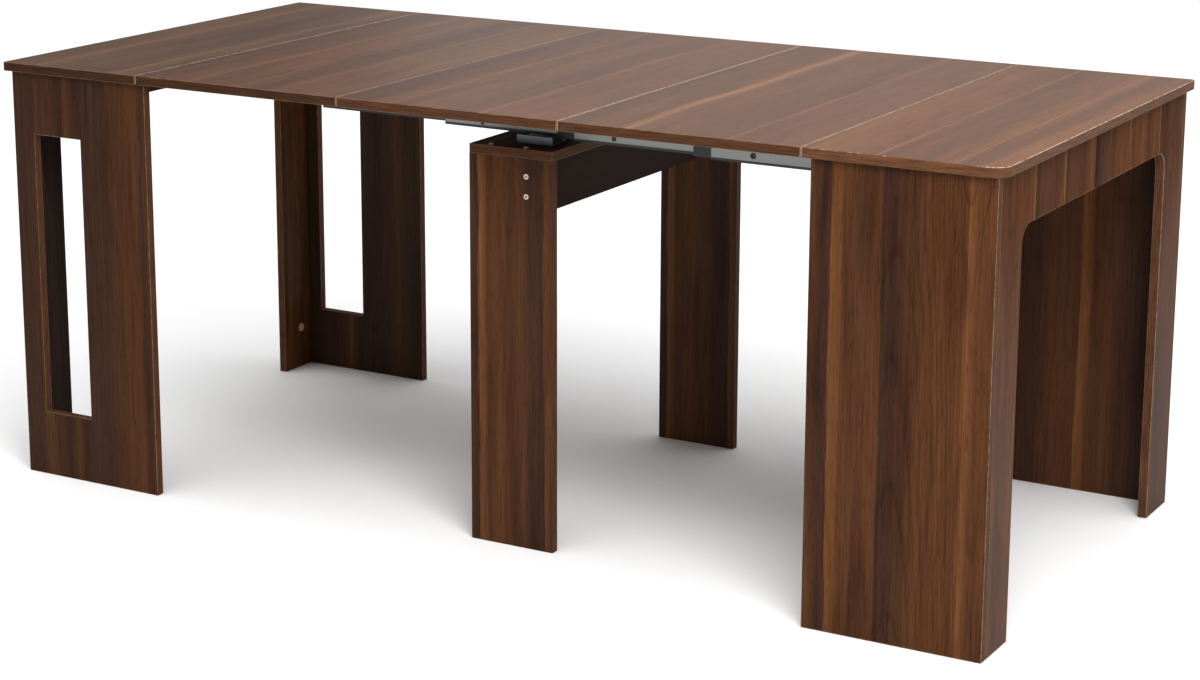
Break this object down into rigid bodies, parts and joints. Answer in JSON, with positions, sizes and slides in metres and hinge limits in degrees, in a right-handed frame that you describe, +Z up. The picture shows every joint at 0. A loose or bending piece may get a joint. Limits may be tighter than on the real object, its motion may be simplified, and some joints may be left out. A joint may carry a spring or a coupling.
{
  "type": "extending dining table",
  "caption": "Rectangular extending table on board ends with arched frames, loose leaves, a travelling middle leg and telescopic steel runners.",
  "frame": {"origin": "on the floor, below the middle of the fully open table", "axes": "+X along the table to the rounded end, -Y the near long side of the picture, where its larger corner radius is, +Z up"},
  "size_m": [1.9, 0.9, 0.765],
  "materials": {
    "top_board": "satin walnut laminate",
    "leg_board": "satin walnut laminate",
    "runner_steel": "zinc plated",
    "retainer_plastic": "matt",
    "bearer_plastic": "matt",
    "plate_steel": "zinc plated",
    "pin_wood": "plain beech",
    "cap_plastic": "satin",
    "screw_steel": "nickel plated"
  },
  "bodies": {
    "right_unit": {"top_right": "top_board", "side_right_near": "leg_board", "side_right_far": "leg_board", "end_right": "leg_board", "caps_right": "cap_plastic", "run_6_near": "runner_steel", "run_6_far": "runner_steel", "plate_right_near": "plate_steel", "plate_right_far": "plate_steel"},
    "left_unit": {"top_left": "top_board", "side_left_near": "leg_board", "side_left_far": "leg_board", "end_left": "leg_board", "caps_left": "cap_plastic", "pins_left": "pin_wood", "run_1_near": "runner_steel", "run_1_far": "runner_steel", "plate_left_near": "plate_steel", "plate_left_far": "plate_steel"},
    "stage_5": {"run_5_near": "runner_steel", "run_5_far": "runner_steel"},
    "middle_leg": {"run_4_near": "runner_steel", "run_4_far": "runner_steel", "hanger_near": "plate_steel", "hanger_far": "plate_steel", "mid_leg_near": "leg_board", "mid_leg_far": "leg_board", "mid_top": "leg_board", "mid_beam": "leg_board", "screws_mid_near": "screw_steel", "screws_mid_far": "screw_steel"},
    "stage_3": {"run_3_near": "runner_steel", "run_3_far": "runner_steel"},
    "stage_2": {"run_2_near": "runner_steel", "run_2_far": "runner_steel"},
    "retainer_1": {"cage_1_near": "retainer_plastic", "cage_1_far": "retainer_plastic"},
    "retainer_2": {"cage_2_near": "retainer_plastic", "cage_2_far": "retainer_plastic"},
    "retainer_3": {"cage_3_near": "retainer_plastic", "cage_3_far": "retainer_plastic"},
    "retainer_4": {"cage_4_near": "retainer_plastic", "cage_4_far": "retainer_plastic"},
    "retainer_5": {"cage_5_near": "retainer_plastic", "cage_5_far": "retainer_plastic"},
    "loose_leaf_1": {"leaf_1": "top_board", "pins_1": "pin_wood", "bearer_1_near": "bearer_plastic", "bearer_1_far": "bearer_plastic"},
    "loose_leaf_2": {"leaf_2": "top_board", "pins_2": "pin_wood", "bearer_2_near": "bearer_plastic", "bearer_2_far": "bearer_plastic"},
    "loose_leaf_3": {"leaf_3": "top_board", "pins_3": "pin_wood", "bearer_3_near": "bearer_plastic", "bearer_3_far": "bearer_plastic"}
  },
  "joints": [
    {"name": "closing", "type": "slide", "parent": "right_unit", "child": "left_unit", "axis": [1, 0, 0], "range_m": [0, 1.275]},
    {"name": "stage_5_slide", "type": "slide", "parent": "right_unit", "child": "stage_5", "axis": [1, 0, 0], "range_m": [0, 0.255]},
    {"name": "middle_leg_slide", "type": "slide", "parent": "right_unit", "child": "middle_leg", "axis": [1, 0, 0], "range_m": [0, 0.51]},
    {"name": "stage_3_slide", "type": "slide", "parent": "right_unit", "child": "stage_3", "axis": [1, 0, 0], "range_m": [0, 0.765]},
    {"name": "stage_2_slide", "type": "slide", "parent": "right_unit", "child": "stage_2", "axis": [1, 0, 0], "range_m": [0, 1.02]},
    {"name": "retainer_1_slide", "type": "slide", "parent": "right_unit", "child": "retainer_1", "axis": [1, 0, 0], "range_m": [0, 1.1475]},
    {"name": "retainer_2_slide", "type": "slide", "parent": "right_unit", "child": "retainer_2", "axis": [1, 0, 0], "range_m": [0, 0.8925]},
    {"name": "retainer_3_slide", "type": "slide", "parent": "right_unit", "child": "retainer_3", "axis": [1, 0, 0], "range_m": [0, 0.6375]},
    {"name": "retainer_4_slide", "type": "slide", "parent": "right_unit", "child": "retainer_4", "axis": [1, 0, 0], "range_m": [0, 0.3825]},
    {"name": "retainer_5_slide", "type": "slide", "parent": "right_unit", "child": "retainer_5", "axis": [1, 0, 0], "range_m": [0, 0.1275]},
    {"name": "leaf_1_lift", "type": "slide", "parent": "right_unit", "child": "loose_leaf_1", "axis": [0, 0, 1], "range_m": [0, 0.408]},
    {"name": "leaf_2_lift", "type": "slide", "parent": "right_unit", "child": "loose_leaf_2", "axis": [0, 0, 1], "range_m": [0, 0.408]},
    {"name": "leaf_3_lift", "type": "slide", "parent": "right_unit", "child": "loose_leaf_3", "axis": [0, 0, 1], "range_m": [0, 0.408]}
  ],
  "couplings": [
    {"joint": "stage_5_slide", "follows": "closing", "ratio": 0.2},
    {"joint": "middle_leg_slide", "follows": "closing", "ratio": 0.4},
    {"joint": "stage_3_slide", "follows": "closing", "ratio": 0.6},
    {"joint": "stage_2_slide", "follows": "closing", "ratio": 0.8},
    {"joint": "retainer_1_slide", "follows": "closing", "ratio": 0.9},
    {"joint": "retainer_2_slide", "follows": "closing", "ratio": 0.7},
    {"joint": "retainer_3_slide", "follows": "closing", "ratio": 0.5},
    {"joint": "retainer_4_slide", "follows": "closing", "ratio": 0.3},
    {"joint": "retainer_5_slide", "follows": "closing", "ratio": 0.1},
    {"joint": "leaf_1_lift", "follows": "closing", "ratio": 0.32},
    {"joint": "leaf_2_lift", "follows": "closing", "ratio": 0.32},
    {"joint": "leaf_3_lift", "follows": "closing", "ratio": 0.32}
  ]
}
